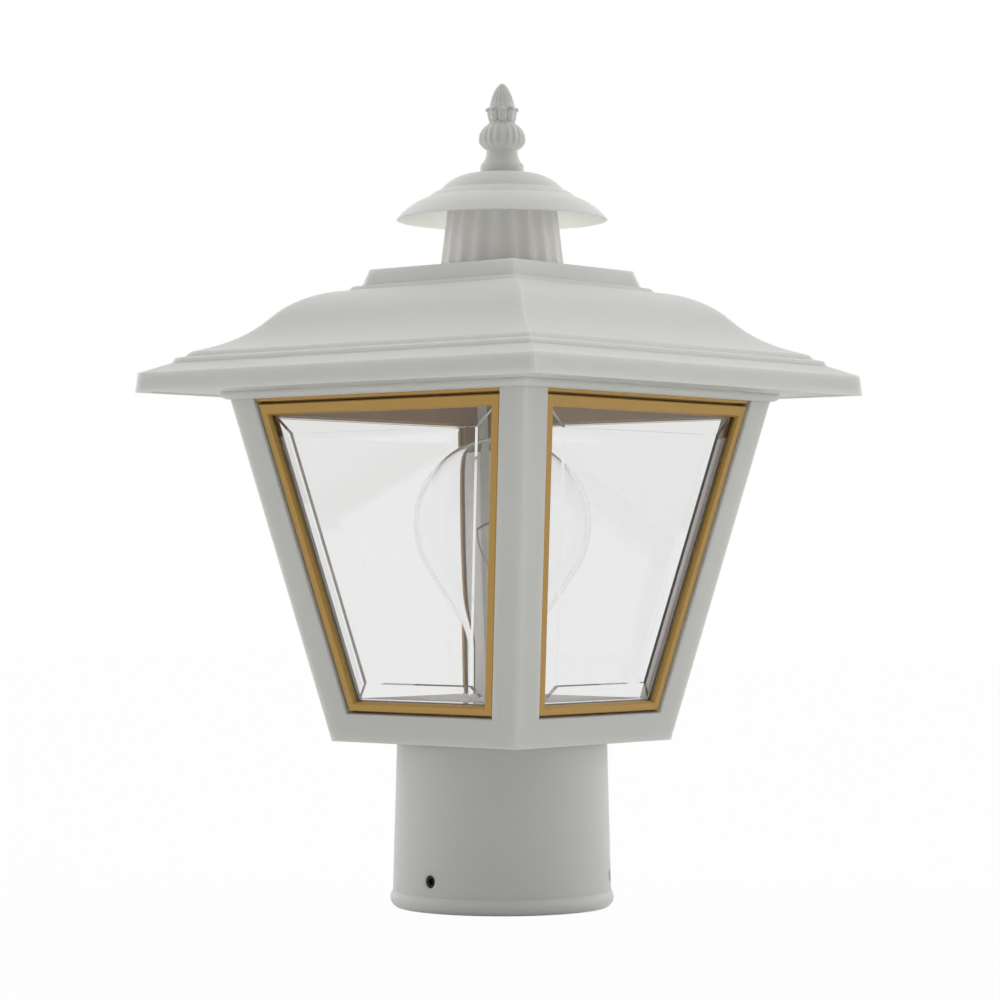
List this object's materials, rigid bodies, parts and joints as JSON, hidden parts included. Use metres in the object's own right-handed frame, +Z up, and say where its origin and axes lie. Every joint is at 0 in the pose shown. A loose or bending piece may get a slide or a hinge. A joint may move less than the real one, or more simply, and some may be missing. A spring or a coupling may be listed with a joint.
{
  "type": "post top lantern",
  "caption": "Square tapering post top lantern: clear bevelled panes in gold trim, an ogee roof that lifts off for the bulb, a fluted chimney with cap and finial, and a round post collar.",
  "frame": {"origin": "centre of the post collar's lower rim", "axes": "+Z up along the post, the front window faces -Y, the right window faces +X"},
  "size_m": [0.2, 0.2, 0.3182],
  "materials": {
    "white_plastic": "moulded, faint grain, matte",
    "gold_trim": "satin gold paint",
    "retainer_plastic": "brownish gold, matte",
    "clear_pane": "clear acrylic, bevelled edges",
    "zinc_steel": "zinc plated",
    "black_steel": "black oxide",
    "porcelain": "glazed",
    "brass": "bright rolled brass",
    "bulb_glass": "clear blown glass",
    "bulb_base": "rolled, bright",
    "base_insulator": "black glass",
    "solder": "dull solder",
    "lead_wire": "drawn nickel wire",
    "tungsten": "coiled tungsten"
  },
  "bodies": {
    "lantern": {"body_cage": "white_plastic", "post_collar": "white_plastic", "collar_screws": "zinc_steel", "trim_frame_front": "gold_trim", "trim_frame_right": "gold_trim", "trim_frame_back": "gold_trim", "trim_frame_left": "gold_trim", "pane_front": "clear_pane", "pane_right": "clear_pane", "pane_back": "clear_pane", "pane_left": "clear_pane", "pane_retainer_front": "retainer_plastic", "pane_retainer_right": "retainer_plastic", "pane_retainer_back": "retainer_plastic", "pane_retainer_left": "retainer_plastic", "retainer_screws": "zinc_steel", "socket_body": "porcelain", "socket_screw_shell": "brass", "socket_contact": "brass", "terminal_screws": "brass", "socket_bracket": "zinc_steel", "bracket_screws": "zinc_steel", "lamp_nipple": "zinc_steel", "nipple_nut": "zinc_steel"},
    "roof": {"roof": "white_plastic", "chimney": "white_plastic", "chimney_cap": "white_plastic", "finial_stud": "zinc_steel", "stud_washer": "zinc_steel", "stud_nut": "zinc_steel"},
    "finial": {"finial": "white_plastic"},
    "bulb": {"bulb_glass": "bulb_glass", "bulb_stem": "bulb_glass", "lead_wires": "lead_wire", "filament": "tungsten", "bulb_base_shell": "bulb_base", "bulb_base_insulator": "base_insulator", "bulb_base_contact": "solder"},
    "set_screw_1": {"set_screw_1": "black_steel"},
    "set_screw_2": {"set_screw_2": "black_steel"},
    "set_screw_3": {"set_screw_3": "black_steel"},
    "roof_screw_right": {"roof_screw_right": "zinc_steel"},
    "roof_screw_left": {"roof_screw_left": "zinc_steel"}
  },
  "joints": [
    {"name": "roof_lift", "type": "slide", "parent": "lantern", "child": "roof", "axis": [0, 0, 1], "range_m": [0, 0.12]},
    {"name": "finial_turn", "type": "hinge", "parent": "roof", "child": "finial", "pos_m": [0, 0, 0.29], "axis": [0, 0, 1], "continuous": true},
    {"name": "bulb_lift", "type": "slide", "parent": "lantern", "child": "bulb", "axis": [0, 0, 1], "range_m": [0, 0.045]},
    {"name": "set_screw_1_travel", "type": "slide", "parent": "lantern", "child": "set_screw_1", "axis": [0, -1, 0], "range_m": [-0.0015, 0.004]},
    {"name": "set_screw_2_travel", "type": "slide", "parent": "lantern", "child": "set_screw_2", "axis": [0.866, 0.5, 0], "range_m": [-0.0015, 0.004]},
    {"name": "set_screw_3_travel", "type": "slide", "parent": "lantern", "child": "set_screw_3", "axis": [-0.866, 0.5, 0], "range_m": [-0.0015, 0.004]},
    {"name": "roof_screw_right_travel", "type": "slide", "parent": "lantern", "child": "roof_screw_right", "axis": [0, 0, -1], "range_m": [0, 0.012]},
    {"name": "roof_screw_left_travel", "type": "slide", "parent": "lantern", "child": "roof_screw_left", "axis": [0, 0, -1], "range_m": [0, 0.012]}
  ]
}
